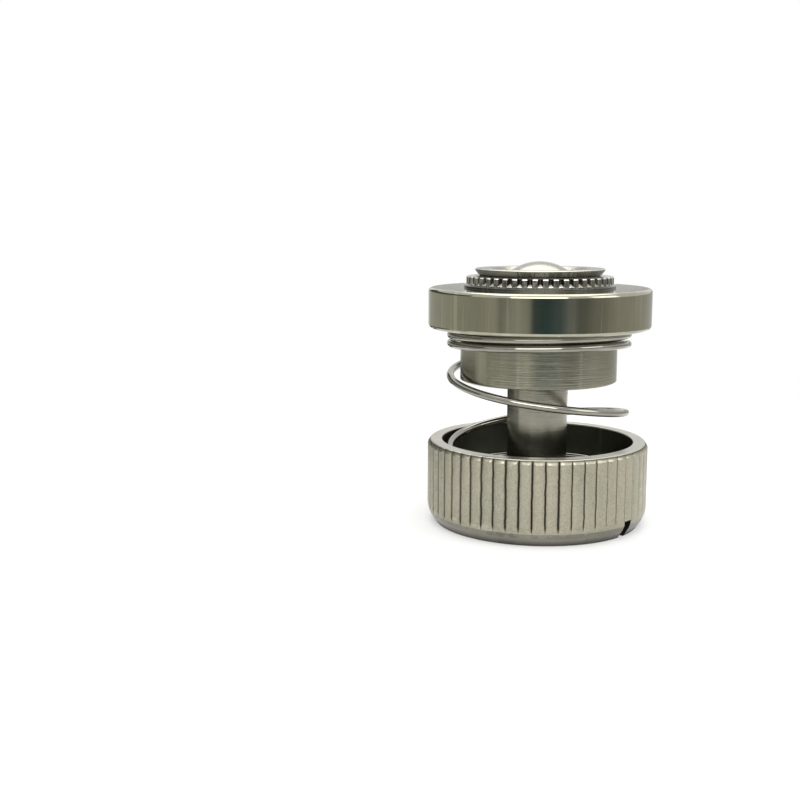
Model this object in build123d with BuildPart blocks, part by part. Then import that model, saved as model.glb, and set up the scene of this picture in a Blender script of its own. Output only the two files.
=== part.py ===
from build123d import *
import os
from math import cos, pi, radians, sin, sqrt

# Captive panel screw, millimetres, +Z up.
# It stands on the slotted face of its knob. The retainer is at the top: its
# knurled ring and flared lip are pressed into the panel, with the flange
# against the sheet. A screw pressed into the knob runs through the retainer,
# and a spring inside the knob's cup keeps the two apart. The shoulder where
# the thread begins can't pass the small hole of the retainer's neck, so the
# screw stays with the panel when it is undone.

# ---- driving dimensions -----------------------------------------------------
knob_diameter = 11.7
knob_height = 4.45
cup_diameter = 10.15
cup_floor = 2.15              # height of the cup's floor above the slotted face
face_diameter = 10.8          # flat of the slotted face
slot_width = 0.55
slot_depth = 0.95
slot_turn = -36.5             # slot's direction, from the +X axis

flange_diameter = 11.68
flange_bottom = 10.43
flange_top = 12.52
neck_diameter = 8.25
neck_bottom = 7.64
collar_diameter = 7.93
ring_diameter = 7.7
lip_diameter = 6.91
retainer_top = 13.52

thread_diameter = 3.96        # M4 x 0.7, just under its nominal size
shank_diameter = 3.2          # under the thread's root, so that it runs free
tip_height = 13.88            # crown of the screw's rounded tip
press_depth = 1.0             # how deep the screw is pressed into the knob

wire_diameter = 0.4
coil_diameter = 9.3           # from wire centre to wire centre

full_turn = 360

# ---- knob -------------------------------------------------------------------
knob_radius = knob_diameter / 2
knurl_count = 55
knurl_depth = 0.14
knurl_width = 0.4             # at the knob's surface
knurl_root_width = 0.08
knurl_offset = 4.83 - 90      # a groove stands a little to the right of the front
knurl_root = knob_radius - knurl_depth
runout_top = 1.0              # where the groove's root begins to rise
runout_slope = 0.3            # outward rise of the root for each millimetre down
rim_chamfer = 0.16
rim_chamfer_height = 0.24
ridge_radius = 5.69           # ridge between the knurled side and the face's chamfer
ridge_height = 0.45
step_width = 0.03             # small turned step under the ridge
side_bottom = 0.95            # the side is straight down to here
chamfer_bulge = 0.035         # the face's chamfer is slightly rounded
overcut = 0.5                 # how far a cutting shape stands clear of what it cuts


def tooth_gap(root, depth, width, root_width):
    """Corners of one groove's section, at the +X side, wider than the surface."""
    flank = (width - root_width) / 2 / depth
    outer = root_width / 2 + flank * (depth + overcut)
    return [
        (root, -root_width / 2),
        (root, root_width / 2),
        (root + depth + overcut, outer),
        (root + depth + overcut, -outer),
    ]


# The knurl's grooves as cutting shapes: straight, with a root that rises to
# the surface at the lower end and leaves a pointed tip there.
with BuildPart() as knurl_grooves:
    with BuildSketch(Plane.XY):
        with PolarLocations(0, knurl_count, start_angle=knurl_offset):
            Polygon(*tooth_gap(knurl_root, knurl_depth, knurl_width, knurl_root_width), align=None)
    extrude(amount=knob_height + overcut)
    with BuildSketch(Plane.XZ):
        with BuildLine():
            Polyline(
                (0, knob_height + 2 * overcut),
                (knurl_root, knob_height + 2 * overcut),
                (knurl_root, runout_top),
                (knurl_root + runout_slope * (runout_top + overcut), -overcut),
                (0, -overcut),
                close=True,
            )
        make_face()
    revolve(axis=Axis.Z, mode=Mode.SUBTRACT)

with BuildPart() as knob:
    # turned outline: chamfered face, ridge, side, rim, cup
    with BuildSketch(Plane.XZ):
        with BuildLine():
            face_edge = (face_diameter / 2, 0)
            step_edge = (ridge_radius - step_width, ridge_height - step_width)
            Line((0, 0), face_edge)
            middle = ((face_edge[0] + step_edge[0]) / 2 + chamfer_bulge, step_edge[1] / 2 - chamfer_bulge)
            ThreePointArc(face_edge, middle, step_edge)
            Line(step_edge, (ridge_radius, ridge_height))
            side = Line((knob_radius, knob_height - rim_chamfer_height), (knob_radius, side_bottom))
            TangentArc(side @ 1, (ridge_radius, ridge_height), tangent=side % 1)
            Polyline(
                side @ 0,
                (knob_radius - rim_chamfer, knob_height),
                (cup_diameter / 2, knob_height),
                (cup_diameter / 2, cup_floor),
                (0, cup_floor),
                (0, 0),
            )
        make_face()
    revolve(axis=Axis.Z)
    # blind hole that the screw is pressed into
    with BuildSketch(Plane.XY.offset(cup_floor - press_depth)):
        Circle(shank_diameter / 2)
    extrude(amount=press_depth, mode=Mode.SUBTRACT)
    # driver slot across the whole face
    with BuildSketch(Plane.XY):
        Rectangle(knob_diameter + overcut, slot_width, rotation=slot_turn)
    extrude(amount=slot_depth, mode=Mode.SUBTRACT)
    add(knurl_grooves.part, mode=Mode.SUBTRACT)
knob.part.label = "knob"

# ---- retainer ---------------------------------------------------------------
flange_round = 0.2
neck_chamfer = 0.06
collar_top = 12.63
ring_top = 13.12
ring_chamfer = 0.05
ring_foot = 0.2               # height of the ramp that closes the tooth gaps at the foot
undercut_diameter = 6.3
undercut_top = 13.2
lip_root_diameter = 6.43
lip_round = 0.06
mouth_diameter = 5.42         # where the countersink meets the top
bore_diameter = 4.5           # the thread runs free in it
web_thickness = 0.8           # floor of the bore, at the neck's end
web_hole_diameter = 3.3       # passes the shank and stops the thread
tooth_count = 46
tooth_depth = 0.18
tooth_gap_width = 0.28
tooth_root_width = 0.06
tooth_offset = 4.58 - 90      # a tooth stands a little to the right of the front
ring_root = ring_diameter / 2 - tooth_depth
foot_slope = ring_foot / (collar_diameter / 2 - ring_root)
foot_top = collar_top + foot_slope * (collar_diameter - ring_diameter) / 2
web_top = neck_bottom + web_thickness
mouth_depth = (mouth_diameter - bore_diameter) / 2

# The gaps between the clinch ring's teeth as cutting shapes, each closed at
# its foot by a ramp that leads out to the collar's edge.
with BuildPart() as tooth_gaps:
    with BuildSketch(Plane.XY.offset(collar_top)):
        with PolarLocations(0, tooth_count, start_angle=tooth_offset + full_turn / tooth_count / 2):
            Polygon(*tooth_gap(ring_root, tooth_depth, tooth_gap_width, tooth_root_width), align=None)
    extrude(amount=undercut_top - collar_top)
    with BuildSketch(Plane.XZ):
        with BuildLine():
            Polyline(
                (0, collar_top),
                (collar_diameter / 2, collar_top),
                (ring_root, collar_top + ring_foot),
                (0, collar_top + ring_foot),
                close=True,
            )
        make_face()
    revolve(axis=Axis.Z, mode=Mode.SUBTRACT)

with BuildPart() as retainer:
    with BuildSketch(Plane.XZ) as retainer_outline:
        with BuildLine():
            Polyline(
                (web_hole_diameter / 2, neck_bottom),
                (neck_diameter / 2 - neck_chamfer, neck_bottom),
                (neck_diameter / 2, neck_bottom + neck_chamfer),
                (neck_diameter / 2, flange_bottom),
                (flange_diameter / 2, flange_bottom),
                (flange_diameter / 2, flange_top),
                (collar_diameter / 2, flange_top),
                (collar_diameter / 2, collar_top),
                (ring_diameter / 2, foot_top),
                (ring_diameter / 2, ring_top - ring_chamfer),
                (ring_diameter / 2 - ring_chamfer, ring_top),
                (undercut_diameter / 2, ring_top),
                (undercut_diameter / 2, undercut_top),
                (lip_root_diameter / 2, undercut_top),
                (lip_diameter / 2, retainer_top),
                (mouth_diameter / 2, retainer_top),
                (bore_diameter / 2, retainer_top - mouth_depth),
                (bore_diameter / 2, web_top),
                (web_hole_diameter / 2, web_top),
                close=True,
            )
        make_face()
        corners = retainer_outline.vertices()
        fillet(corners.group_by(Axis.X)[-1], flange_round)
        fillet(corners.group_by(Axis.Y)[-1].sort_by(Axis.X)[-1], lip_round)
    revolve(axis=Axis.Z)
    add(tooth_gaps.part, mode=Mode.SUBTRACT)
retainer.part.label = "retainer"

# ---- screw ------------------------------------------------------------------
thread_bottom = web_top + 0.02    # the shoulder hangs a hair above the web
shoulder_chamfer = 0.2
tip_sphere = 2.6                  # radius of the tip's rounding
tip_edge_diameter = 3.1           # the rounding ends here, at the lead-in
lead_in = (thread_diameter - tip_edge_diameter) / 2
tip_edge_height = tip_height - tip_sphere + sqrt(tip_sphere**2 - (tip_edge_diameter / 2) ** 2)

with BuildPart() as screw:
    with BuildSketch(Plane.XZ):
        with BuildLine():
            Polyline(
                (0, tip_height),
                (0, cup_floor - press_depth),
                (shank_diameter / 2, cup_floor - press_depth),
                (shank_diameter / 2, thread_bottom),
                (thread_diameter / 2 - shoulder_chamfer, thread_bottom),
                (thread_diameter / 2, thread_bottom + shoulder_chamfer),
                (thread_diameter / 2, tip_edge_height - lead_in),
                (tip_edge_diameter / 2, tip_edge_height),
            )
            RadiusArc((0, tip_height), (tip_edge_diameter / 2, tip_edge_height), tip_sphere)
        make_face()
    revolve(axis=Axis.Z)
screw.part.label = "screw"

# ---- spring -----------------------------------------------------------------
# Left-hand wound. The wire starts at the back, makes the closed coils under
# the flange, leaves them a little past the right-hand side, makes the open
# coils and ends in a closed coil on the cup's floor. The upper closed coils
# lean a little, as a spring's do. Turns are counted from the right-hand side.
seat_gap = 0.01
first_turn = -1.75
leave_turn = 0.1
open_turns = 1.7
closed_turns_below = 1.0
closed_pitch = 0.44
leave_height = 9.48           # wire centre where it leaves the upper closed coils
lean_angle = 38               # direction in which the upper closed coils lean up
lean_rise = 0.2
lean_end = 0.5                # turn at which the lean has gone
ease = 0.5                    # turns over which the pitch changes
steps_per_turn = 12
coil_radius = coil_diameter / 2
last_height = cup_floor + seat_gap + wire_diameter / 2
last_turn = leave_turn + open_turns + closed_turns_below
closed_drop = closed_pitch * (open_turns + closed_turns_below)
extra_pitch = (leave_height - last_height - closed_drop) / open_turns


def eased(turns):
    """Turns since the start, growing smoothly from nought."""
    if abs(turns) < ease / 2:
        return (turns + ease / 2) ** 2 / (2 * ease)
    return max(turns, 0)


def wire_point(turn):
    """Point on the wire's centre line."""
    angle = 2 * pi * turn
    since = turn - leave_turn
    drop = closed_pitch * since + extra_pitch * (eased(since) - eased(since - open_turns))
    fade = min(max(1 - turn / lean_end, 0), 1)
    lean = fade * lean_rise * cos(angle + radians(lean_angle))
    return (coil_radius * cos(angle), coil_radius * sin(angle), leave_height - drop + lean)


wire_steps = round((last_turn - first_turn) * steps_per_turn)
wire_points = [
    wire_point(first_turn + (last_turn - first_turn) * step / wire_steps)
    for step in range(wire_steps + 1)
]

with BuildPart() as spring:
    with BuildLine():
        wire = Spline(*wire_points)
    with BuildSketch(Plane(origin=wire @ 0, z_dir=wire % 0)):
        Circle(wire_diameter / 2)
    sweep()
spring.part.label = "spring"

# ---- files ------------------------------------------------------------------
os.makedirs("parts", exist_ok=True)
for piece in (knob, retainer, screw, spring):
    export_step(piece.part, f"parts/{piece.part.label}.step")
wire_volume = pi * (wire_diameter / 2) ** 2 * wire.length
print(f"spring: volume {spring.part.volume:.2f}, section times length {wire_volume:.2f}")
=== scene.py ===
# %% [markdown]
# # A captive panel screw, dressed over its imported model
#
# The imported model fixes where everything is: a slotted knob at the bottom, a
# screw pressed into it, a retainer that the screw can't leave, and a spring
# between the two. This lesson models each piece again as a finely divided
# turned surface, gives it the finish of machined steel, and lights it.
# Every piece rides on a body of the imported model, so it moves as that does.

# %% The frame
from math import atan2, ceil, cos, pi, radians, sin, sqrt, tau

import bpy
from mathutils import Matrix, Vector, noise


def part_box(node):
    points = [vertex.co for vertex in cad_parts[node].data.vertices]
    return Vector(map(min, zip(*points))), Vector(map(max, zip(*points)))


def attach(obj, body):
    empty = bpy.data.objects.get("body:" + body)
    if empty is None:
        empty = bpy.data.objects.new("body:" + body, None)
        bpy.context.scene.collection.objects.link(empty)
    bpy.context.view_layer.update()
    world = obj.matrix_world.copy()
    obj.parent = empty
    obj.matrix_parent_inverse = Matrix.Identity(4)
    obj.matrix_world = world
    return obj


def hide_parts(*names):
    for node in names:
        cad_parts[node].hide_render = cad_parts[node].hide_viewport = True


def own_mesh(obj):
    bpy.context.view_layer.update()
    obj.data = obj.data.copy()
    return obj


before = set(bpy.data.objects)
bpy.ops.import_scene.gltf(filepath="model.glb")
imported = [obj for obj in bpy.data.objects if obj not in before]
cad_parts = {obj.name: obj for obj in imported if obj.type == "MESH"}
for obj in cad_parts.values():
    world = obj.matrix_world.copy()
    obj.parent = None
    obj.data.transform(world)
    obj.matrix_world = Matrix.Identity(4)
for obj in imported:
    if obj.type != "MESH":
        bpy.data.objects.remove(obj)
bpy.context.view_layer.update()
MM = 0.001

# %% [markdown]
# ## Camera
#
# A lens of about 50 mm on a full-frame sensor, a hand's breadth from a part
# that is smaller than a thumbnail. It looks slightly down, so that the rims
# show as thin ellipses, and a little past the part, which therefore stands to
# the right of the middle. The near clipping plane has to be closer than usual,
# because everything here is measured in millimetres.

# %% Camera
camera_place = Vector((0, -60.57, 16.09)) * MM
camera_down = 9.05
camera_left = 6.96
focal_length = 51.26

camera_data = bpy.data.cameras.new("camera")
camera_data.lens = focal_length
camera_data.clip_start = 1 * MM
camera_data.clip_end = 10
camera = bpy.data.objects.new("camera", camera_data)
camera.location = camera_place
camera.rotation_euler = (radians(90 - camera_down), 0, radians(camera_left))
bpy.context.collection.objects.link(camera)
bpy.context.scene.camera = camera
bpy.context.scene.view_settings.view_transform = "Standard"
print("camera", round(camera_place.length / MM, 1), "mm from the slotted face's centre")

# %% [markdown]
# ## Building node trees
#
# Materials here are written as nodes. One short helper adds a node, sets its
# options, and fills its inputs: an input takes either a plain value or the
# output of another node, which is then linked. A second helper makes a node
# group with named sockets. A group is like a function: it is built once and
# used in many materials with different numbers.

# %% Node helpers
def add(tree, kind, inputs=None, **settings):
    """Adds a node with its settings, and fills its inputs with values or links."""
    made = tree.nodes.new(kind)
    for key, value in settings.items():
        setattr(made, key, value)
    for key, value in (inputs or {}).items():
        if isinstance(value, bpy.types.NodeSocket):
            tree.links.new(value, made.inputs[key])
        else:
            made.inputs[key].default_value = value
    return made


def math(tree, operation, *values):
    """A maths node's output."""
    return add(tree, "ShaderNodeMath", dict(enumerate(values)), operation=operation).outputs[0]


def blend_colour(tree, factor, first, second):
    """The output of a colour mix."""
    mixed = add(tree, "ShaderNodeMix", {0: factor, 6: first, 7: second}, data_type="RGBA")
    return mixed.outputs[2]


def group(name, inputs, outputs):
    """An empty node group with named sockets: its tree, its input node and its output node."""
    tree = bpy.data.node_groups.new(name, "ShaderNodeTree")
    for label, value in inputs.items():
        kind = "NodeSocketColor" if isinstance(value, tuple) else "NodeSocketFloat"
        socket = tree.interface.new_socket(label, in_out="INPUT", socket_type=kind)
        socket.default_value = value
    for label, kind in outputs.items():
        tree.interface.new_socket(label, in_out="OUTPUT", socket_type=kind)
    return tree, tree.nodes.new("NodeGroupInput"), tree.nodes.new("NodeGroupOutput")


def use(tree, name, inputs=None):
    """Places a node group in a material."""
    return add(tree, "ShaderNodeGroup", inputs, node_tree=bpy.data.node_groups[name])


def axis_distance(tree, parts):
    """How far a place lies from the Z axis, given its separated parts."""
    squares = [math(tree, "MULTIPLY", parts.outputs[side], parts.outputs[side]) for side in "XY"]
    return math(tree, "SQRT", math(tree, "ADD", *squares))


# %% [markdown]
# ## Marks of the lathe
#
# A lathe tool leaves fine lines that run round the work: level lines on a
# cylinder, circles on a flat face. Noise can draw both if it is read in the
# work's own terms, namely how far along the tool has moved, and a little of
# the direction round the axis so that the lines fade in and out. Direction is
# given as a sine and a cosine, because an angle would leave a seam.

# %% Turning marks as a node group
marks_tree, marks_in, marks_out = group(
    "turning_marks",
    {"Spacing": 0.05 * MM, "Drift": 1.5},
    {"Height": "NodeSocketFloat", "Streaks": "NodeSocketFloat"},
)
coordinates = add(marks_tree, "ShaderNodeTexCoord")
place = add(marks_tree, "ShaderNodeSeparateXYZ", {0: coordinates.outputs["Object"]})
facing = add(marks_tree, "ShaderNodeSeparateXYZ", {0: coordinates.outputs["Normal"]})
flat = math(marks_tree, "ABSOLUTE", facing.outputs["Z"])
across = axis_distance(marks_tree, place)
tool_way = add(marks_tree, "ShaderNodeMix", {0: flat, 2: place.outputs["Z"], 3: across}).outputs[0]
along = math(marks_tree, "DIVIDE", tool_way, marks_in.outputs["Spacing"])
cosine, sine = [math(marks_tree, "DIVIDE", place.outputs[side], across) for side in "XY"]
read_at = add(marks_tree, "ShaderNodeCombineXYZ", {
    "X": along,
    "Y": math(marks_tree, "MULTIPLY", cosine, marks_in.outputs["Drift"]),
    "Z": math(marks_tree, "MULTIPLY", sine, marks_in.outputs["Drift"]),
}).outputs[0]
fine = add(marks_tree, "ShaderNodeTexNoise", {"Vector": read_at, "Scale": 1.0, "Detail": 3.0})
broad = add(marks_tree, "ShaderNodeTexNoise", {"Vector": read_at, "Scale": 0.23, "Detail": 1.0})
marks_tree.links.new(fine.outputs["Fac"], marks_out.inputs["Height"])
marks_tree.links.new(broad.outputs["Fac"], marks_out.inputs["Streaks"])
print("node group", marks_tree.name)

# %% [markdown]
# ## Handling, age and painted light
#
# Bare machined steel isn't one grey. It has faint warm clouds from handling
# and edges that have been rubbed bright. Clouds are low noise. Rubbed edges
# come from pointiness, which is how sharply the mesh bends at each point.
# Recesses get painted shade: on a knurl it lies near the roots, so it is told
# by the distance from the axis. And faces that slope upward get a painted
# highlight, brighter than what stands upright beside them.

# %% Clouds as a node group
clouds_tree, clouds_in, clouds_out = group(
    "clouds", {"Scale": 400.0, "Stretch": 1.0}, {"Mask": "NodeSocketFloat", "Fine": "NodeSocketFloat"})
cloud_place = add(clouds_tree, "ShaderNodeTexCoord").outputs["Object"]
cloud_parts = add(clouds_tree, "ShaderNodeSeparateXYZ", {0: cloud_place})
cloud_point = add(clouds_tree, "ShaderNodeCombineXYZ", {
    "X": cloud_parts.outputs["X"],
    "Y": cloud_parts.outputs["Y"],
    "Z": math(clouds_tree, "MULTIPLY", cloud_parts.outputs["Z"], clouds_in.outputs["Stretch"]),
}).outputs[0]
cloud = add(clouds_tree, "ShaderNodeTexNoise",
            {"Vector": cloud_point, "Scale": clouds_in.outputs["Scale"], "Detail": 4.0})
speck_scale = math(clouds_tree, "MULTIPLY", clouds_in.outputs["Scale"], 28.0)
speck = add(clouds_tree, "ShaderNodeTexNoise",
            {"Vector": cloud_point, "Scale": speck_scale, "Detail": 2.0})
clouds_tree.links.new(cloud.outputs["Fac"], clouds_out.inputs["Mask"])
clouds_tree.links.new(speck.outputs["Fac"], clouds_out.inputs["Fine"])
print("node group", clouds_tree.name)

# %% Rubbed edges as a node group
edges_tree, edges_in, edges_out = group("rubbed_edges", {"Sharpness": 0.06}, {"Mask": "NodeSocketFloat"})
bend = add(edges_tree, "ShaderNodeNewGeometry").outputs["Pointiness"]
edge_mask = add(edges_tree, "ShaderNodeMapRange", {
    "Value": bend,
    "From Min": 0.5,
    "From Max": math(edges_tree, "ADD", 0.5, edges_in.outputs["Sharpness"]),
})
edges_tree.links.new(edge_mask.outputs[0], edges_out.inputs["Mask"])
print("node group", edges_tree.name)

# %% Painted shade in recesses as a node group
recess_shade_tree, recess_shade_in, recess_shade_out = group(
    "painted_recess_shade", {"Root": 5.71 * MM, "Surface": 5.85 * MM}, {"Mask": "NodeSocketFloat"})
recess_shade_parts = add(recess_shade_tree, "ShaderNodeSeparateXYZ",
                 {0: add(recess_shade_tree, "ShaderNodeTexCoord").outputs["Object"]})
recess_shade_mask = add(recess_shade_tree, "ShaderNodeMapRange", {
    "Value": axis_distance(recess_shade_tree, recess_shade_parts),
    "From Min": recess_shade_in.outputs["Root"],
    "From Max": recess_shade_in.outputs["Surface"],
    "To Min": 1.0,
    "To Max": 0.0,
})
recess_shade_tree.links.new(recess_shade_mask.outputs[0], recess_shade_out.inputs["Mask"])
print("node group", recess_shade_tree.name)

# %% Painted highlight on upward faces as a node group
slope_tree, slope_in, slope_out = group(
    "painted_upward_highlight", {"Steep": 0.6, "Level": 0.9}, {"Mask": "NodeSocketFloat"})
slope_parts = add(slope_tree, "ShaderNodeSeparateXYZ",
                  {0: add(slope_tree, "ShaderNodeTexCoord").outputs["Normal"]})
not_steep = add(slope_tree, "ShaderNodeMapRange", {
    "Value": slope_parts.outputs["Z"],
    "From Min": math(slope_tree, "SUBTRACT", slope_in.outputs["Steep"], 0.3),
    "From Max": slope_in.outputs["Steep"],
})
not_level = add(slope_tree, "ShaderNodeMapRange", {
    "Value": slope_parts.outputs["Z"],
    "From Min": slope_in.outputs["Level"],
    "From Max": math(slope_tree, "ADD", slope_in.outputs["Level"], 0.08),
    "To Min": 1.0,
    "To Max": 0.0,
})
upward_highlight_mask = math(slope_tree, "MULTIPLY", not_steep.outputs[0], not_level.outputs[0])
slope_tree.links.new(upward_highlight_mask, slope_out.inputs["Mask"])
print("node group", slope_tree.name)

# %% [markdown]
# ## One steel, many finishes
#
# All four pieces are the same kind of bare steel, and only the finish differs:
# how bright, how rough, how deep the tool marks are, how much painted shade
# lies in recesses and how much painted highlight on upward faces. Several
# finishes are darker copies of the steel with shade painted in, and the rim's
# is a lighter copy with light painted in. So one function builds the material
# from those few values. Metallic is 1, because the colour of bare metal is the
# colour of its reflections. Only the driver slot, painted near-black as shade,
# is half metal.

# %% Steel
# Near-black that the painted shade in recesses blends towards.
shade_black = (0.035, 0.033, 0.026, 1)
recess_roughness = 0.3


def steel(name, tint, dark, roughness, spread=0.06, marks=0.0, spacing=0.05, wear=0.3, recess_shade=0.0,
          root=0.0, surface=1.0, grain=0.0, speckle=0.0, cloudiness=2.4, upward_highlight=0.0, bright=None,
          metal=1.0):
    """A machined steel finish. Lengths are in millimetres.

    dark and tint are the two ends of its clouds, which cloudiness and speckle make harder.
    marks, spacing and spread are the tool marks' depth, their distance and their change of roughness.
    recess_shade, painted shade, thins out from the radius root to the radius surface. grain is the depth of
    a fine roughness.
    bright is the colour that wear gives to edges and that the painted highlight gives to upward faces."""
    material = bpy.data.materials.new(name)
    material.use_nodes = True
    tree = material.node_tree
    shader = tree.nodes["Principled BSDF"]
    shader.inputs["Metallic"].default_value = metal
    shader.inputs["Specular IOR Level"].default_value = 0.5 * metal
    lines = use(tree, "turning_marks", {"Spacing": spacing * MM})
    cloudy = use(tree, "clouds")
    rubbed = use(tree, "rubbed_edges")
    shaded_recess = use(tree, "painted_recess_shade", {"Root": root * MM, "Surface": surface * MM})
    patchy = math(tree, "MULTIPLY_ADD", cloudy.outputs["Fine"], speckle,
                  math(tree, "MULTIPLY_ADD", cloudy.outputs["Mask"], cloudiness,
                       0.5 - (cloudiness + speckle) / 2))
    patchy = math(tree, "MINIMUM", math(tree, "MAXIMUM", patchy, 0.0), 1.0)
    colour = blend_colour(tree, patchy, (*dark, 1), (*tint, 1))
    bright = bright or tuple(min(1.0, 1.5 * part) for part in tint)
    rub = math(tree, "MULTIPLY", rubbed.outputs["Mask"], wear)
    colour = blend_colour(tree, rub, colour, (*bright, 1))
    # Painted shade: recesses are darkened towards near-black by their distance from the axis.
    recess_shading = math(tree, "MULTIPLY", shaded_recess.outputs["Mask"], recess_shade)
    colour = blend_colour(tree, recess_shading, colour, shade_black)
    # Painted highlight: faces that slope upward are lightened towards the bright colour.
    highlighted = math(tree, "MULTIPLY", use(tree, "painted_upward_highlight").outputs["Mask"], upward_highlight)
    colour = blend_colour(tree, highlighted, colour, (*bright, 1))
    tree.links.new(colour, shader.inputs["Base Color"])
    uneven = math(tree, "MULTIPLY_ADD", lines.outputs["Streaks"], spread, roughness - spread / 2)
    dull = math(tree, "MULTIPLY_ADD", recess_shading, recess_roughness, uneven)
    tree.links.new(dull, shader.inputs["Roughness"])
    height = math(tree, "MULTIPLY_ADD", cloudy.outputs["Fine"], grain * MM,
                  math(tree, "MULTIPLY", lines.outputs["Height"], marks * MM))
    bump = add(tree, "ShaderNodeBump", {"Height": height, "Strength": 1.0, "Distance": 1.0})
    tree.links.new(bump.outputs[0], shader.inputs["Normal"])
    return material


# %% Finishes of this part
polished = steel("polished_steel", (0.37, 0.355, 0.28), (0.31, 0.30, 0.23), 0.09, spread=0.05,
                 marks=0.0002, spacing=0.03, wear=0.5)
turned = steel("turned_steel", (0.36, 0.35, 0.28), (0.27, 0.26, 0.20), 0.2, spread=0.14, marks=0.005,
               spacing=0.05, wear=0.3, speckle=0.4, cloudiness=1.6)
# Painted shade darkens the knurl's groove roots, by their distance from the axis.
knurled = steel("knurled_steel", (0.40, 0.37, 0.285), (0.28, 0.28, 0.22), 0.36, spread=0.1, marks=0.001,
                wear=0.4, recess_shade=0.85, root=5.735, surface=5.80, grain=0.014, speckle=2.6, cloudiness=1.6)
# Painted shade: the teeth are a much darker copy of the steel, with more shade painted into their gaps.
tooth_bright = (0.62, 0.61, 0.56)
toothed = steel("toothed_steel_painted_shade", (0.17, 0.167, 0.137), (0.05, 0.048, 0.038), 0.2, marks=0.001, wear=0.5,
                recess_shade=0.95, root=3.81, surface=3.847, speckle=1.5, upward_highlight=1.0, bright=tooth_bright)
# Painted shade: the collar is a near-black copy of the steel.
collar_shade = steel("collar_steel_painted_shade", (0.09, 0.087, 0.07), (0.05, 0.048, 0.04), 0.25, marks=0.003,
                      wear=0.6)
ledge_finish = steel("ledge_steel", (0.40, 0.39, 0.35), (0.26, 0.255, 0.22), 0.3, marks=0.003,
                     speckle=0.6)
# Painted shade and painted highlight: the lip is a dark copy of the steel, with its upward faces lightened.
lip_shade_and_highlight = steel("lip_steel_painted_shade_and_highlight", (0.145, 0.143, 0.116), (0.085, 0.084, 0.066), 0.3, spread=0.1,
                   marks=0.003, spacing=0.04, speckle=1.4, upward_highlight=1.0, bright=tooth_bright)
# Painted light: the rim is a lighter copy of the steel.
rim_lit = steel("rim_steel_painted_light", (0.50, 0.49, 0.43), (0.42, 0.41, 0.35), 0.3, marks=0.002,
                   spacing=0.06)
# Painted shade: the slotted face and its chamfer are darker copies of the steel, and the chamfer darkens
# further towards the floor.
face_shade = steel("face_steel_painted_shade", (0.19, 0.184, 0.15), (0.12, 0.117, 0.095), 0.33, marks=0.003,
                    spacing=0.12, speckle=0.6)
bevel_shade = steel("bevel_steel_painted_shade", (0.26, 0.25, 0.21), (0.16, 0.157, 0.13), 0.33, marks=0.003,
                     spacing=0.05, speckle=0.8, recess_shade=0.75, root=5.42, surface=5.62)
# Painted shade: the cup's inside is a dark copy of the steel.
inside = steel("cup_inside_painted_shade", (0.15, 0.16, 0.125), (0.10, 0.107, 0.082), 0.35, marks=0.002)
# Painted shade: the driver slot is near-black.
slot_shade = steel("slot_steel_painted_shade", (0.012, 0.012, 0.010), (0.006, 0.006, 0.005), 0.5, metal=0.5)
shank_finish = steel("screw_steel", (0.34, 0.33, 0.275), (0.26, 0.25, 0.205), 0.22, spread=0.1,
                     marks=0.003, spacing=0.06, speckle=0.4)
wire_finish = steel("spring_wire", (0.33, 0.32, 0.28), (0.20, 0.195, 0.165), 0.1, spread=0.06,
                    speckle=0.3)
print("finishes:", [material.name for material in bpy.data.materials])

# %% [markdown]
# ## Turned shapes
#
# A turned piece is its outline, swept round the axis. Outlines are lists of
# corners, each with its own rounding, because a real machined edge always has
# a small radius that catches the light. `rounded` turns the corners into
# points. It also puts one more point just outside each rounding, which keeps
# the shading of the flat next to it flat. `skin` joins rings of points into a
# closed mesh. Rings rather than a Screw modifier, since the knurl and the
# teeth change from ring to ring.

# %% Outlines
def arc_points(before, corner, after, rounding):
    """Points of a rounded corner, with one holding point outside each end."""
    back = (before - corner).normalized()
    onward = (after - corner).normalized()
    half = back.angle(onward) / 2
    reach = rounding * cos(half) / sin(half)
    hold = min(0.03, (before - corner).length - reach, (after - corner).length - reach) * 0.4
    centre = corner + (back + onward).normalized() * (rounding / sin(half))
    start = corner + back * reach - centre
    end = corner + onward * reach - centre
    sweep = atan2(start.x * end.y - start.y * end.x, start.dot(end))
    steps = 3 if rounding < 0.05 else max(4, ceil(abs(sweep) / radians(12)))
    arc = [centre + Matrix.Rotation(sweep * step / steps, 2) @ start for step in range(steps + 1)]
    return [corner + back * (reach + hold), *arc, corner + onward * (reach + hold)]


def rounded(parts, closed=False):
    """Points of an outline with their finishes, from parts of a finish and (radius, height, rounding)."""
    corners = [(Vector((radius, height)), rounding, finish)
               for finish, part in parts for radius, height, rounding in part]
    points = []
    for index, (corner, rounding, finish) in enumerate(corners):
        at_end = index in (0, len(corners) - 1) and not closed
        if rounding == 0 or at_end:
            points.append((corner, finish))
            continue
        before = corners[index - 1][0]
        after = corners[(index + 1) % len(corners)][0]
        arc = arc_points(before, corner, after, rounding)
        points += [(arc[0], corners[index - 1][2])]
        points += [(point, finish) for point in arc[1:]]
    return points


def divide(points, low, high, longest, inner=0.0):
    """Adds points to the runs of an outline that lie between two heights and outside a radius."""
    dense = [points[0]]
    for point, finish in points[1:]:
        start, start_finish = dense[-1]
        level = low <= min(start.y, point.y) and max(start.y, point.y) <= high
        in_zone = level and min(start.x, point.x) >= inner
        pieces = max(1, ceil(abs(point.y - start.y) / longest)) if in_zone else 1
        dense += [(start.lerp(point, step / pieces), start_finish) for step in range(1, pieces)]
        dense.append((point, finish))
    return dense


# %% Skins
def new_piece(name, points, edges, faces):
    """A mesh object in the scene, from points in metres."""
    mesh = bpy.data.meshes.new(name)
    mesh.from_pydata(points, edges, faces)
    piece = bpy.data.objects.new(name, mesh)
    bpy.context.collection.objects.link(piece)
    return piece


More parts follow.
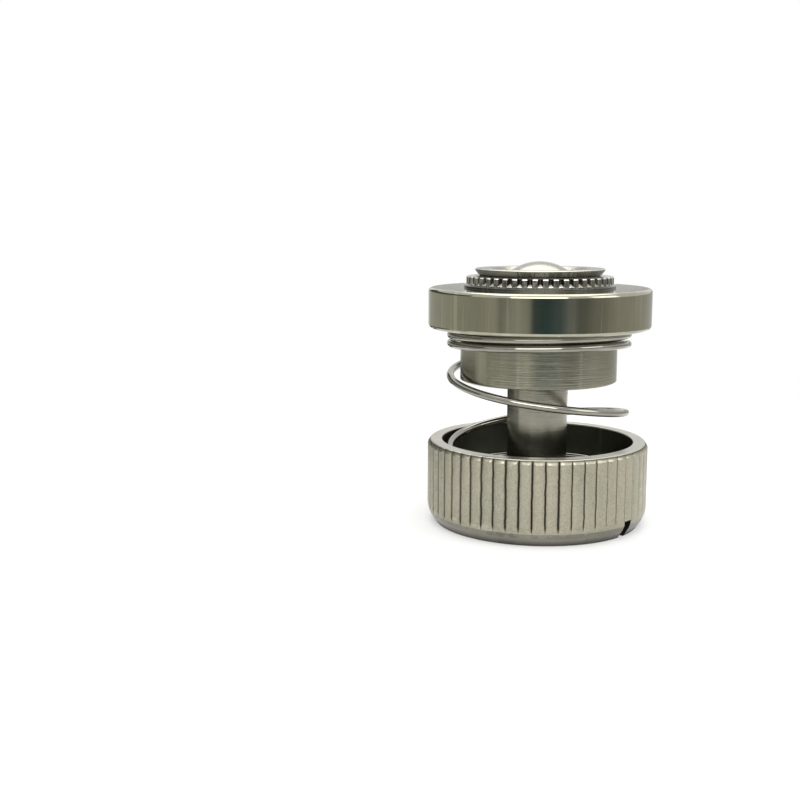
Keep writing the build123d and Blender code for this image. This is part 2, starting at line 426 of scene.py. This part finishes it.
def skin(name, rings, finishes, loop=False):
    """A closed mesh through rings of points in millimetres. finishes gives each ring's material."""
    around = len(rings[0])
    points = [Vector(point) * MM for ring in rings for point in ring]
    palette = list(dict.fromkeys(finishes))
    pairs = [(index, index + 1) for index in range(len(rings) - 1)]
    if loop:
        pairs.append((len(rings) - 1, 0))
    faces = []
    slots = []
    for low, high in pairs:
        under, over = low * around, high * around
        for step in range(around):
            after = (step + 1) % around
            faces.append((under + step, under + after, over + after, over + step))
            slots.append(palette.index(finishes[low]))
    if not loop:
        faces.append(tuple(reversed(range(around))))
        slots.append(palette.index(finishes[0]))
        faces.append(tuple((len(rings) - 1) * around + step for step in range(around)))
        slots.append(palette.index(finishes[-1]))
    piece = new_piece(name, points, [], faces)
    for finish in palette:
        piece.data.materials.append(finish)
    piece.data.polygons.foreach_set("material_index", slots)
    return piece


def dress(piece, node, body):
    """The piece replaces a node, which is hidden, and rides on a body."""
    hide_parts(node)
    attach(piece, body)


def finish_piece(piece, node, body, sharp=35):
    """Smooth shading with sharp edges kept, and the piece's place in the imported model."""
    piece.data.shade_smooth()
    piece.data.set_sharp_from_angle(angle=radians(sharp))
    dress(piece, node, body)
    print(piece.name, len(piece.data.polygons), "faces")


# %% [markdown]
# ## Grooves round a surface
#
# The knob's straight knurl and the clinch ring's teeth are the same thing at
# two sizes: grooves with sloping flanks, evenly spaced. Each ring of points is
# laid out groove by groove. Where a groove gets shallow, its edges come
# together, so the points follow the edge, and the groove ends in a clean point
# instead of a staircase.

# %% Grooved rings
def same_groove(depth):
    """A size for grooved_ring that is the same for every groove."""
    return lambda groove: (depth, 1.0, 0.0)


def grooved_ring(surface, height, count, offset, profile, size, ramp=0.0):
    """One level ring of points with grooves, in millimetres.

    profile is half a groove, from its middle out, as (sideways, share of the depth).
    size(groove) gives its depth, its width as a share of the profile's, and how far it strays sideways.
    The groove's floor never lies inside the ramp's radius."""
    pitch = tau * surface / count
    ring = []
    for groove in range(count):
        depth, width, aside = size(groove)
        next_depth, next_width, next_aside = size((groove + 1) % count)
        columns = [(aside + sideways * width, depth * share) for sideways, share in profile]
        columns.append((pitch / 2, 0))
        columns += [(pitch + next_aside - sideways * next_width, next_depth * share)
                    for sideways, share in reversed(profile[1:])]
        for column, (along, sunk) in enumerate(columns):
            if not depth and not next_depth:
                along = pitch * column / len(columns)
            angle = radians(offset) + (groove * pitch + along) / surface
            radius = max(surface - sunk, ramp)
            ring.append((radius * cos(angle), radius * sin(angle), height))
    return ring


# %% [markdown]
# ## Retainer
#
# The retainer is turned from one bar: a smooth neck, a wide polished flange
# that bears on the panel, a low collar, a ring with teeth that bite into the
# panel's hole, and a flared lip that locks it there. The bore is wide for the
# thread, with a thin web at the neck's end that stops it. Its outline runs up
# the outside and down the bore, and closes on itself.

# %% Retainer outline
retainer_low, retainer_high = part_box("retainer")
flange_radius = retainer_high.x / MM
neck_bottom = retainer_low.z / MM
retainer_top = retainer_high.z / MM
neck_radius = 4.125
flange_bottom = 10.43
flange_top = 12.52
collar_radius = 3.965
collar_top = 12.63
ring_radius = 3.85
ring_top = 13.12
ring_chamfer = 0.05
ring_foot = 0.2
undercut_radius = 3.15
undercut_top = 13.2
lip_root_radius = 3.215
lip_radius = 3.455
mouth_radius = 2.71
bore_radius = 2.25
mouth_bottom = retainer_top - (mouth_radius - bore_radius)
web_top = neck_bottom + 0.8
web_hole_radius = 1.65
tooth_count = 46
tooth_depth = 0.18
tooth_profile = ((0, 1), (0.03, 1), (0.06, 0.73), (0.085, 0.5), (0.11, 0.27), (0.135, 0.04), (0.155, 0))
tooth_offset = 4.58 - 90 + 360 / tooth_count / 2
ring_root = ring_radius - tooth_depth
foot_slope = (collar_radius - ring_root) / ring_foot
foot_top = collar_top + (collar_radius - ring_radius) / foot_slope
gap_slope = 1.1
gap_top = foot_top + (ring_radius - ring_root) / gap_slope
ramp_step = 0.012
hair = 0.001

retainer_parts = (
    (turned, [(web_hole_radius, neck_bottom, 0.03), (neck_radius, neck_bottom, 0.06),
              (neck_radius, flange_bottom, 0.04)]),
    (polished, [(flange_radius, flange_bottom, 0.2), (flange_radius, flange_top, 0.2)]),
    (collar_shade, [(collar_radius, flange_top, 0.02), (collar_radius, collar_top, 0.02)]),
    (toothed, [(ring_radius, foot_top, 0.01), (ring_radius, gap_top, 0),
               (ring_radius, ring_top - ring_chamfer, 0.01)]),
    (ledge_finish, [(ring_radius - ring_chamfer, ring_top, 0.01)]),
    (toothed, [(undercut_radius, ring_top, 0.01), (undercut_radius, undercut_top, 0.01)]),
    (lip_shade_and_highlight, [(lip_root_radius, undercut_top, 0.02), (lip_radius, retainer_top, 0.06)]),
    (turned, [(mouth_radius, retainer_top, 0.03), (bore_radius, mouth_bottom, 0.03),
              (bore_radius, web_top, 0.1), (web_hole_radius, web_top, 0.03)]),
)
print("retainer outline of", sum(len(part) for finish, part in retainer_parts), "corners")

# %% Retainer mesh
def retainer_ring(point):
    """A ring of the retainer, toothed where it belongs to the clinch ring."""
    wide_enough = point.x >= ring_radius - ring_chamfer - hair
    toothed_here = wide_enough and foot_top <= point.y <= ring_top + hair
    depth = point.x - ring_root if toothed_here else 0.0
    ramp = ring_radius - gap_slope * (point.y - foot_top) if toothed_here else 0.0
    return grooved_ring(point.x, point.y, tooth_count, tooth_offset, tooth_profile,
                        same_groove(depth), ramp)


outline = divide(rounded(retainer_parts, closed=True), foot_top, gap_top, ramp_step)
retainer = skin("turned_retainer", [retainer_ring(point) for point, finish in outline],
                [finish for point, finish in outline], loop=True)
finish_piece(retainer, "retainer", "retainer")

# %% [markdown]
# ## Knob
#
# The knob is a shallow cup. Its side carries a straight knurl of 55 fine
# grooves. The knurling wheel stops short of the slotted face, and where it
# runs out each groove closes to a point. The wheel never bites evenly, so each
# groove has its own depth and wanders a little. The rim is chamfered, the
# inside is bored to a flat floor, and the small ridge below the knurl leads to
# a broad chamfer round the face.

# %% Knob outline
knob_low, knob_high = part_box("knob")
knob_radius = knob_high.x / MM
knob_height = knob_high.z / MM
axis_gap = 0.02
cup_radius = 5.075
cup_floor = 2.15
pocket_radius = 1.6
pocket_floor = cup_floor - 1.0
face_radius = 5.4
ridge_radius = 5.69
ridge_height = 0.45
ridge_step = 0.03
belly_radius = knob_radius - 0.04
belly_height = 0.73
side_bottom = 1.05
side_step = 0.085
rim_chamfer = 0.16
rim_chamfer_height = 0.24
rim_edge = 0.09
knurl_count = 55
knurl_depth = 0.14
knurl_profile = ((0, 1), (0.012, 0.95), (0.034, 0.62), (0.055, 0.42), (0.1, 0.26), (0.15, 0.12), (0.2, 0))
knurl_offset = 4.83 - 90
runout_top = 1.0
runout_slope = 0.3
deepest = 0.15
narrowest = 0.08
mean_bite = 0.97
left_bite = 0.45
uneven_bite = 0.5
lightest_bite = 0.4
hardest_bite = 1.45
slow_wander = 0.022
quick_wander = 0.014

knob_parts = (
    (face_shade, [(axis_gap, 0, 0)]),
    (bevel_shade, [(face_radius, 0, 0.12), (ridge_radius - ridge_step, ridge_height - ridge_step, 0.008),
                    (ridge_radius, ridge_height, 0.01)]),
    (knurled, [(belly_radius, belly_height, 0.3), (knob_radius, side_bottom, 0.3),
               (knob_radius, knob_height - rim_chamfer_height, 0.015)]),
    (rim_lit, [(knob_radius - rim_chamfer, knob_height, 0.13), (cup_radius, knob_height, 0.06)]),
    (inside, [(cup_radius, knob_height - rim_edge, 0), (cup_radius, cup_floor, 0.15),
              (pocket_radius, cup_floor, 0.02),
              (pocket_radius, pocket_floor, 0.02), (axis_gap, pocket_floor, 0)]),
)


def knurl_bite(groove):
    """How hard the knurling wheel bit, against the mean: it ran deeper on the left, and never evenly."""
    direction = radians(knurl_offset) + tau * groove / knurl_count
    chance = noise.noise((groove * 5.3, 2, 7))
    bite = mean_bite - left_bite * cos(direction) + uneven_bite * chance
    return min(max(bite, lightest_bite), hardest_bite)


def knurl_wander(groove, height):
    """A rolled groove isn't quite straight."""
    slow = noise.noise((groove * 3.7, height * 1.6, 0))
    quick = noise.noise((groove * 3.7, height * 7, 5))
    return slow_wander * slow + quick_wander * quick


print("groove tips end at about", round(runout_top - knurl_depth / runout_slope, 2), "mm")

# %% Knob mesh
def knob_ring(point):
    """A ring of the knob, grooved on its outside."""
    grooved = point.x > ridge_radius + 2 * hair and point.y > ridge_height
    rise = runout_slope * max(0, runout_top - point.y)

    def size(groove):
        root = knob_radius - knurl_depth * knurl_bite(groove) + rise
        reach = max(0, point.x - root)
        if not grooved or not reach:
            return 0.0, narrowest, 0.0
        width = max(narrowest, reach / knurl_depth)
        return min(reach, deepest), width, knurl_wander(groove, point.y)

    return grooved_ring(point.x, point.y, knurl_count, knurl_offset, knurl_profile, size)


outline = divide(rounded(knob_parts), ridge_height, knob_height, side_step, inner=ridge_radius - ridge_step)
knob = skin("knurled_knob", [knob_ring(point) for point, finish in outline],
            [finish for point, finish in outline])

# %% [markdown]
# ## Driver slot
#
# A slot is cut across the face for a screwdriver or a coin. It is milled after
# turning, so its edges are crisp, with a trace of a bevel. The cutter is a bar
# with sloping lips, and a Boolean takes it away from the knob.

# %% Driver slot
slot_width = 0.55
slot_depth = 0.95
slot_turn = -36.5
slot_lip = 0.03


def bar(name, section, length, turn):
    """A closed bar with this section across its length, turned about the Z axis."""
    points = []
    for end in (-length / 2, length / 2):
        points += [Matrix.Rotation(radians(turn), 3, "Z") @ Vector((end, across, height)) * MM
                   for across, height in section]
    count = len(section)
    faces = [tuple(reversed(range(count))), tuple(range(count, 2 * count))]
    faces += [(step, (step + 1) % count, count + (step + 1) % count, count + step) for step in range(count)]
    return new_piece(name, points, [], faces)


def apply_modifiers(piece):
    """Bakes the modifiers of a piece into its mesh."""
    shape = bpy.data.meshes.new_from_object(piece.evaluated_get(bpy.context.evaluated_depsgraph_get()))
    piece.modifiers.clear()
    piece.data = shape


half = slot_width / 2
section = [(-half - 2 * slot_lip, -slot_lip), (half + 2 * slot_lip, -slot_lip), (half, slot_lip),
           (half, slot_depth), (-half, slot_depth), (-half, slot_lip)]
cutter = bar("slot_cutter", section, 2 * knob_radius + 1, slot_turn)
cutter.data.materials.append(slot_shade)
cut = knob.modifiers.new("slot", "BOOLEAN")
cut.operation = "DIFFERENCE"
cut.solver = "EXACT"
cut.material_mode = "TRANSFER"
cut.object = cutter
bpy.context.view_layer.update()
apply_modifiers(knob)
bpy.data.objects.remove(cutter)
finish_piece(knob, "knob", "screw")

# %% [markdown]
# ## Screw
#
# A rolled thread on a thinner shank. A thread is one groove that climbs by a
# pitch in each turn, so how deep it is at a point follows from the point's
# height and its direction together. Every ring of points can then stay level,
# and only its radius changes as it goes round.

# %% Screw's measures
screw_low, screw_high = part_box("screw")
thread_radius = screw_high.x / MM
thread_pitch = 0.7
thread_height = 0.40
shank_radius = 1.6
thread_start = web_top + 0.02
tip_height = screw_high.z / MM
tip_sphere = 2.6
tip_edge_radius = 1.55
tip_centre = tip_height - tip_sphere
tip_edge_height = tip_centre + sqrt(tip_sphere ** 2 - tip_edge_radius ** 2)
shoulder_chamfer = 0.2
crest_share = 0.16
flank_share = 0.68
shank_edge = 0.02
shank_bottom = pocket_floor + shank_edge
screw_columns = 96
print("screw", round(tip_height - pocket_floor, 2), "mm long")

# %% Thread
def thread_profile(phase):
    """Depth below the crest, from 0 to 1, over one pitch of the thread."""
    distance = abs((phase % 1) - 0.5) * 2
    return min(max((1 - distance - crest_share) / flank_share, 0), 1)


def screw_envelope(height):
    """The screw's outside radius without its thread."""
    if height > tip_edge_height:
        return sqrt(max(tip_sphere ** 2 - (height - tip_centre) ** 2, axis_gap ** 2))
    lead_in = tip_edge_radius + (tip_edge_height - height)
    shoulder = thread_radius - shoulder_chamfer + (height - thread_start)
    return min(lead_in, shoulder, thread_radius)


def level_ring(radii, height):
    """A level ring of points, one for each radius."""
    turns = [column / len(radii) for column in range(len(radii))]
    return [(radius * cos(tau * turn), radius * sin(tau * turn), height)
            for radius, turn in zip(radii, turns)]


def screw_ring(height):
    """A level ring of the threaded end."""
    crest = screw_envelope(height)
    phases = [height / thread_pitch - column / screw_columns for column in range(screw_columns)]
    cuts = [thread_radius - thread_height * thread_profile(phase) for phase in phases]
    return level_ring([min(crest, cut) for cut in cuts], height)


def plain_ring(radius, height):
    """A level ring of a plain turned part."""
    return level_ring([radius] * screw_columns, height)


print("thread of", round((tip_edge_height - thread_start) / thread_pitch, 1), "turns")

# %% Screw mesh
shank_levels = 12
thread_levels = 150
dome_levels = 14
shank_heights = [shank_bottom + (thread_start - shank_bottom) * level / shank_levels
                 for level in range(shank_levels + 1)]
thread_heights = [thread_start + (tip_edge_height - thread_start) * level / thread_levels
                  for level in range(thread_levels + 1)]
dome_angle = atan2(tip_edge_radius, tip_edge_height - tip_centre)
dome_heights = [tip_centre + tip_sphere * cos(dome_angle * (1 - level / dome_levels))
                for level in range(1, dome_levels)]
rings = [plain_ring(axis_gap, pocket_floor), plain_ring(shank_radius - shank_edge, pocket_floor)]
rings += [plain_ring(shank_radius, height) for height in shank_heights]
rings += [screw_ring(height) for height in thread_heights + dome_heights]
rings.append(plain_ring(axis_gap, tip_height))
screw = skin("threaded_screw", rings, [shank_finish] * len(rings))
finish_piece(screw, "screw", "screw", sharp=60)

# %% [markdown]
# ## Spring
#
# The spring is one wire, wound left-handed: closed coils under the flange,
# nearly two open ones, and a closed coil on the cup's floor. The wire's centre
# line is a chain of edges. Geometry nodes turn it into a curve and sweep a
# circle along it, so that the wire stays round whatever the centre line does.
#
# When the knob is pressed, the chain is squashed towards its lower end. But
# the closed coils can't get any shorter, so each point carries two numbers of
# its own: its height at rest, and its share of the top's movement. The nodes
# measure how far the top has moved and give each point its share, which is all
# of it for the upper closed coils, and none for the lower one.

# %% Spring's centre line
wire_radius = 0.2
coil_radius = 4.65
first_turn = -1.75
leave_turn = 0.1
open_turns = 1.7
closed_turns_below = 1.0
closed_pitch = 0.44
leave_height = 9.48
lean_angle = 38
lean_rise = 0.2
lean_end = 0.5
ease = 0.5
seat_gap = 0.01
last_height = cup_floor + seat_gap + wire_radius
last_turn = leave_turn + open_turns + closed_turns_below
closed_drop = closed_pitch * (open_turns + closed_turns_below)
extra_pitch = (leave_height - last_height - closed_drop) / open_turns


def eased(turns):
    """Turns since the start, growing smoothly from nought."""
    if abs(turns) < ease / 2:
        return (turns + ease / 2) ** 2 / (2 * ease)
    return max(turns, 0)


def wire_point(turn):
    """A point on the wire's centre line, in metres."""
    angle = tau * turn
    since = turn - leave_turn
    drop = closed_pitch * since + extra_pitch * (eased(since) - eased(since - open_turns))
    fade = min(max(1 - turn / lean_end, 0), 1)
    lean = fade * lean_rise * cos(angle + radians(lean_angle))
    return Vector((coil_radius * cos(angle), coil_radius * sin(angle), leave_height - drop + lean)) * MM


def top_share(turn):
    """How much of the upper coils' movement a point of the wire takes part in."""
    since = turn - leave_turn
    return 1 - (eased(since) - eased(since - open_turns)) / open_turns


steps_per_turn = 72
wire_sides = 20
wire_steps = round((last_turn - first_turn) * steps_per_turn)
turns = [first_turn + (last_turn - first_turn) * step / wire_steps for step in range(wire_steps + 1)]
wire_points = [wire_point(turn) for turn in turns]
spring = new_piece("wound_spring", wire_points, [(step, step + 1) for step in range(wire_steps)], [])
point_values = {"rest_height": [point.z for point in wire_points],
                "share": [top_share(turn) for turn in turns]}
for label, values in point_values.items():
    spring.data.attributes.new(label, "FLOAT", "POINT").data.foreach_set("value", values)
wire_length = sum((after - before).length for before, after in zip(wire_points, wire_points[1:]))
print("wire of", round(wire_length / MM), "mm")

# %% Spring's geometry nodes
nodes_tree = bpy.data.node_groups.new("wound_wire", "GeometryNodeTree")
nodes_tree.interface.new_socket("Geometry", in_out="INPUT", socket_type="NodeSocketGeometry")
nodes_tree.interface.new_socket("Geometry", in_out="OUTPUT", socket_type="NodeSocketGeometry")
wire_in = nodes_tree.nodes.new("NodeGroupInput")
wire_out = nodes_tree.nodes.new("NodeGroupOutput")
here = add(nodes_tree, "GeometryNodeInputPosition").outputs[0]
here_parts = add(nodes_tree, "ShaderNodeSeparateXYZ", {0: here})
rest, share = [add(nodes_tree, "GeometryNodeInputNamedAttribute", {"Name": label},
                   data_type="FLOAT").outputs[0] for label in point_values]
now_top, rest_top = [add(nodes_tree, "GeometryNodeAttributeStatistic",
                         {"Geometry": wire_in.outputs[0], "Attribute": heights}).outputs["Max"]
                     for heights in (here_parts.outputs["Z"], rest)]
moved = math(nodes_tree, "SUBTRACT", now_top, rest_top)
new_height = math(nodes_tree, "MULTIPLY_ADD", moved, share, rest)
new_place = add(nodes_tree, "ShaderNodeCombineXYZ",
                {"X": here_parts.outputs["X"], "Y": here_parts.outputs["Y"], "Z": new_height}).outputs[0]
placed = add(nodes_tree, "GeometryNodeSetPosition", {"Geometry": wire_in.outputs[0], "Position": new_place})
curve = add(nodes_tree, "GeometryNodeMeshToCurve", {"Mesh": placed.outputs[0]})
circle = add(nodes_tree, "GeometryNodeCurvePrimitiveCircle",
             {"Resolution": wire_sides, "Radius": wire_radius * MM})
swept = add(nodes_tree, "GeometryNodeCurveToMesh",
            {"Curve": curve.outputs[0], "Profile Curve": circle.outputs[0], "Fill Caps": True})
dressed = add(nodes_tree, "GeometryNodeSetMaterial",
              {"Geometry": swept.outputs[0], "Material": wire_finish})
smooth = add(nodes_tree, "GeometryNodeSetShadeSmooth", {"Geometry": dressed.outputs[0]})
nodes_tree.links.new(smooth.outputs[0], wire_out.inputs[0])
spring.data.materials.append(wire_finish)
winding = spring.modifiers.new("winding", "NODES")
winding.node_group = nodes_tree
dress(spring, "spring", "spring")
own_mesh(spring)

# %% [markdown]
# ## Floor and studio
#
# Polished metal shows what stands round it rather than its own colour, so the
# studio is modelled too. The floor is a small pale disc, white where it is
# seen or mirrored, that still takes the part's soft shadow. From below the
# camera looks through it, so that the slotted face can be seen. Round it
# stands a ring of wall, which the camera doesn't see. Its light and dark
# stretches are what the flange mirrors: dark in front, a little to the right,
# and paler on both sides and behind. Curved cards finish the room. A dark one
# above the wall keeps the part's left side in tone, two low ones near the part
# do the same for the neck and the shank, and the flat tops mirror two grey
# cards at the back with a bright gap between them.

# %% Floor
def stage_material(name):
    """A new material with an empty tree but for its output."""
    material = bpy.data.materials.new(name)
    material.use_nodes = True
    material.node_tree.nodes.clear()
    return material, material.node_tree


def seen_rays(tree):
    """Light Path's outputs, and a mask of what the camera sees itself, in a mirror or through glass."""
    rays = add(tree, "ShaderNodeLightPath").outputs
    other = math(tree, "MAXIMUM", rays["Is Glossy Ray"], rays["Is Transmission Ray"])
    return rays, math(tree, "MAXIMUM", rays["Is Camera Ray"], other)


floor_finish, floor_tree = stage_material("pale_floor")
paper = add(floor_tree, "ShaderNodeBsdfDiffuse", {"Color": (0.55, 0.55, 0.55, 1)})
shine = add(floor_tree, "ShaderNodeEmission", {"Color": (1, 1, 1, 1), "Strength": 0.4})
rays, seen = seen_rays(floor_tree)
lift = add(floor_tree, "ShaderNodeAddShader", {0: paper.outputs[0], 1: shine.outputs[0]})
either = add(floor_tree, "ShaderNodeMixShader", {0: seen, 1: paper.outputs[0], 2: lift.outputs[0]})
from_below = math(floor_tree, "MULTIPLY", rays["Is Camera Ray"],
                  add(floor_tree, "ShaderNodeNewGeometry").outputs["Backfacing"])
clear = add(floor_tree, "ShaderNodeBsdfTransparent")
one_sided = add(floor_tree, "ShaderNodeMixShader",
                {0: from_below, 1: either.outputs[0], 2: clear.outputs[0]})
add(floor_tree, "ShaderNodeOutputMaterial", {"Surface": one_sided.outputs[0]})

floor_radius = 45
floor_level = -0.002
floor_edge = [Vector(point) * MM for point in plain_ring(floor_radius, floor_level)]
floor = new_piece("floor", floor_edge, [], [tuple(range(len(floor_edge)))])
floor.data.materials.append(floor_finish)
print("floor", 2 * floor_radius, "mm across")

# %% World
world = bpy.data.worlds.new("white_room")
bpy.context.scene.world = world
world.use_nodes = True
world.node_tree.nodes.clear()
world_rays, world_seen = seen_rays(world.node_tree)
white, fill = [add(world.node_tree, "ShaderNodeBackground", {"Color": (1, 1, 1, 1), "Strength": strength})
               for strength in (1.0, 0.5)]
sky = add(world.node_tree, "ShaderNodeMixShader",
          {0: world_seen, 1: fill.outputs[0], 2: white.outputs[0]})
add(world.node_tree, "ShaderNodeOutputWorld", {"Surface": sky.outputs[0]})
print("world", world.name)

# %% Studio wall's tones
wall_finish, wall_tree = stage_material("studio_wall")
wall_place = add(wall_tree, "ShaderNodeSeparateXYZ",
                 {0: add(wall_tree, "ShaderNodeTexCoord").outputs["Object"]})
wall_angle = math(wall_tree, "ARCTAN2", wall_place.outputs["X"],
                  math(wall_tree, "MULTIPLY", wall_place.outputs["Y"], -1.0))
wall_turn = math(wall_tree, "MULTIPLY_ADD", wall_angle, 0.5 / pi, 0.5)
bands = add(wall_tree, "ShaderNodeValToRGB", {0: wall_turn})
wall_stops = (
    (-180, 1.00, 1.00, 0.95), (-145, 0.48, 0.48, 0.43), (-110, 0.55, 0.55, 0.50), (-60, 0.42, 0.42, 0.37),
    (-47, 0.52, 0.51, 0.45), (-36, 0.32, 0.32, 0.29), (-20, 0.46, 0.46, 0.41), (-11, 0.40, 0.40, 0.36),
    (-4, 0.07, 0.10, 0.10), (6, 0.05, 0.09, 0.10), (20, 0.10, 0.14, 0.15), (31, 0.24, 0.25, 0.25),
    (42, 0.17, 0.18, 0.165), (60, 0.29, 0.29, 0.26), (90, 0.46, 0.45, 0.41), (150, 0.50, 0.50, 0.47),
    (180, 0.90, 0.90, 0.86),
)
ramp = bands.color_ramp
ramp.interpolation = "EASE"
while len(ramp.elements) < len(wall_stops):
    ramp.elements.new(0.5)
for element, (degrees, *tone) in zip(ramp.elements, wall_stops):
    element.position = degrees / 360 + 0.5
    element.color = (*tone, 1)
wall_glow = add(wall_tree, "ShaderNodeEmission", {"Color": bands.outputs[0], "Strength": 1.1})
add(wall_tree, "ShaderNodeOutputMaterial", {"Surface": wall_glow.outputs[0]})
print("wall tones:", len(wall_stops))

# %% Studio wall and cards
wall_radius = 80
wall_low = -70
wall_high = 16


def curved_card(name, first, last, low, high, finish, radius=wall_radius):
    """A stretch of wall between two directions in degrees, where 0 is the front and 90 the right."""
    steps = ceil((last - first) / 5)
    turns = [radians(first + (last - first) * step / steps) for step in range(steps + 1)]
    points = [Vector((radius * sin(turn), -radius * cos(turn), height)) * MM
              for height in (low, high) for turn in turns]
    faces = [(step, step + 1, steps + step + 2, steps + step + 1) for step in range(steps)]
    card = new_piece(name, points, [], faces)
    card.data.materials.append(finish)
    card.visible_camera = False
    card.visible_shadow = False
    card.visible_diffuse = False
    return card


def plain_glow(name, tone):
    """A card's finish of one even tone."""
    finish, tree = stage_material(name)
    glow = add(tree, "ShaderNodeEmission", {"Color": (*tone, 1), "Strength": 1.0})
    add(tree, "ShaderNodeOutputMaterial", {"Surface": glow.outputs[0]})
    return finish


flag_grey = plain_glow("flag_grey", (0.12, 0.12, 0.10))
low_grey = plain_glow("low_grey", (0.08, 0.08, 0.07))
near_grey = plain_glow("near_grey", (0.04, 0.04, 0.03))
back_grey = plain_glow("card_grey", (0.42, 0.42, 0.40))
cards = [
    curved_card("studio_wall", -180, 180, wall_low, wall_high, wall_finish),
    curved_card("left_flag", -155, -70, wall_high, 45, flag_grey),
    curved_card("low_flag", -165, -98, 0.05, 4, low_grey, radius=40),
    curved_card("near_flag", -170, -72, 0.05, 2.6, near_grey, radius=28),
    curved_card("back_left", 186.5, 212, wall_high, 20, back_grey),
    curved_card("back_right", 148, 173.5, wall_high, 20, back_grey),
]
print("cards:", [card.name for card in cards])

# %% [markdown]
# ## Lamps
#
# Three soft boxes: a ceiling over whatever faces up, the strongest in front
# for the upright sides and the upper roundings, and a weaker one on the right.
# Being large and near, they leave only a faint shadow.

# %% Lamps
def soft_box(name, place, aim, width, depth, brightness):
    """A rectangular lamp in millimetres whose face has the given brightness, where 1 is white."""
    data = bpy.data.lights.new(name, "AREA")
    data.shape = "RECTANGLE"
    data.size = width * MM
    data.size_y = depth * MM
    data.energy = brightness * pi * data.size * data.size_y
    lamp = bpy.data.objects.new(name, data)
    lamp.location = Vector(place) * MM
    look = Vector(aim) * MM - lamp.location
    lamp.rotation_euler = look.to_track_quat("-Z", "Y").to_euler()
    lamp.visible_camera = False
    bpy.context.collection.objects.link(lamp)
    print(name, "soft box,", width, "by", depth, "mm")


soft_box("ceiling", (0, 22, 85), (0, 22, 0), 90, 106, 2.5)
soft_box("front", (0, -78, 44), (0, 0, 30), 84, 52, 3.6)
soft_box("side", (80, -30, 45), (0, 0, 5), 50, 50, 2)
